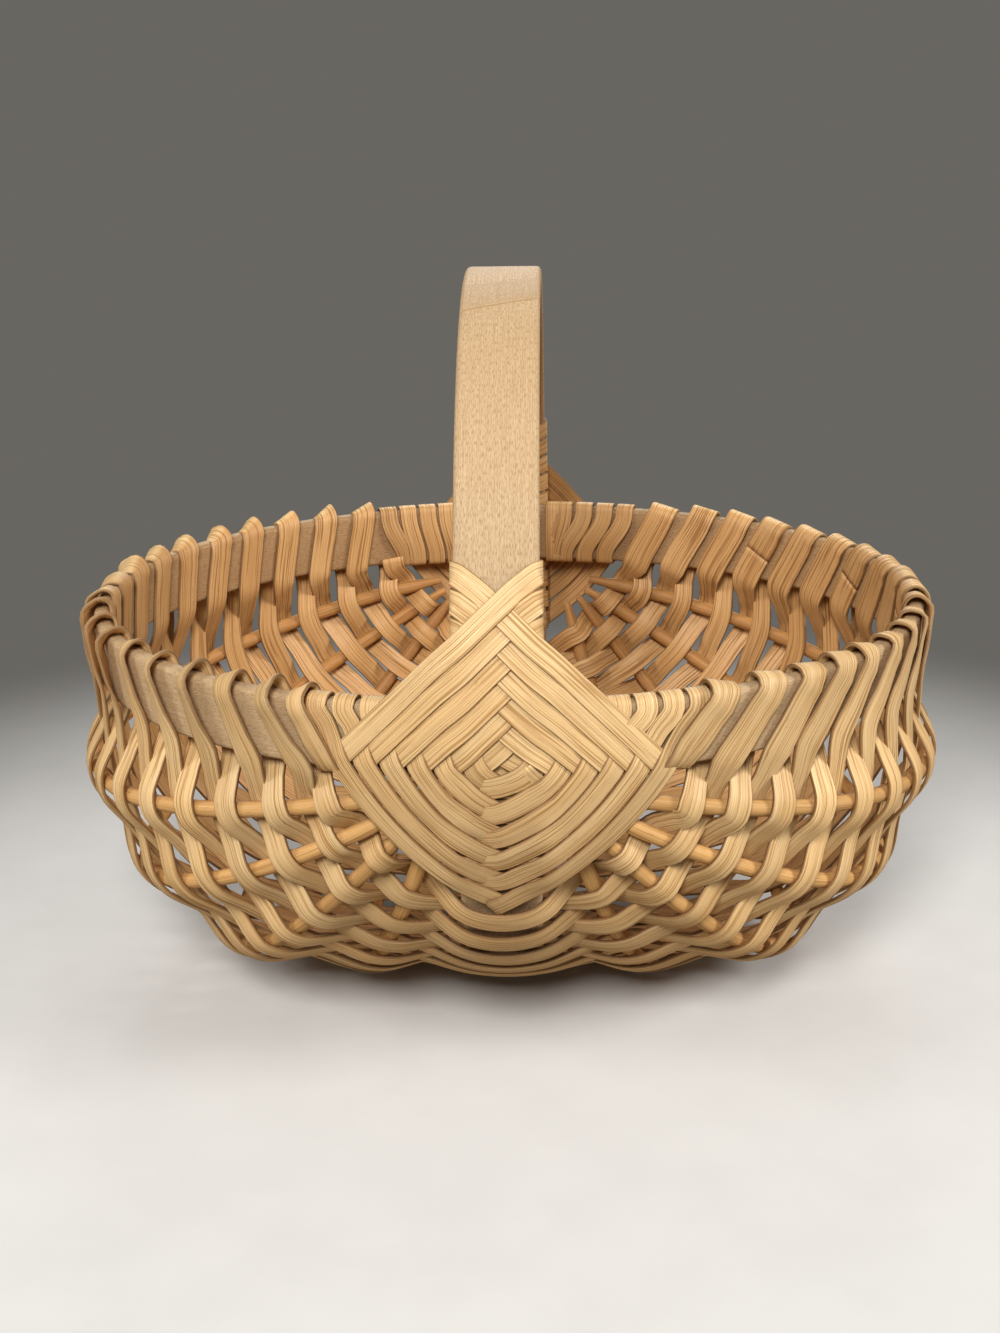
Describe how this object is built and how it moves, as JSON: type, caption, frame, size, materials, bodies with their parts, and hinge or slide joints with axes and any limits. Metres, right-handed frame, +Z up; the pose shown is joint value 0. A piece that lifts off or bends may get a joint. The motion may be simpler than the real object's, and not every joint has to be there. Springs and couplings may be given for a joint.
{
  "type": "buttocks basket",
  "caption": "Two-lobed ribbed basket with a fixed hoop handle, an oval rim hoop, diamond ear lashings and flat-reed weave over round-reed ribs, for carrying light goods.",
  "frame": {"origin": "on the floor under the middle of the basket, at the bottom centre of its bounding box", "axes": "+X across the two lobes, along the oval rim's length; +Y from the front ear to the back ear, in the plane of the handle hoop; +Z up"},
  "size_m": [0.2636, 0.2158, 0.2154],
  "materials": {
    "hoop_wood": "smooth bent hardwood, unvarnished, fine pores",
    "rib_reed": "round reed, satin, fine lengthwise grain",
    "lashing_reed": "flat reed, satin, fine lengthwise grain",
    "weaver_reed": "flat reed, satin, fine lengthwise grain"
  },
  "bodies": {
    "root": {"handle_hoop": "hoop_wood", "rim_hoop": "hoop_wood", "rib_right_1": "rib_reed", "rib_left_1": "rib_reed", "rib_right_2": "rib_reed", "rib_left_2": "rib_reed", "rib_right_3": "rib_reed", "rib_left_3": "rib_reed", "rib_right_4": "rib_reed", "rib_left_4": "rib_reed", "ear_lashing_front": "lashing_reed", "ear_lashing_back": "lashing_reed", "weaver_1": "weaver_reed", "weaver_2": "weaver_reed", "weaver_3": "weaver_reed", "weaver_4": "weaver_reed", "weaver_5": "weaver_reed", "weaver_6": "weaver_reed"}
  },
  "joints": []
}
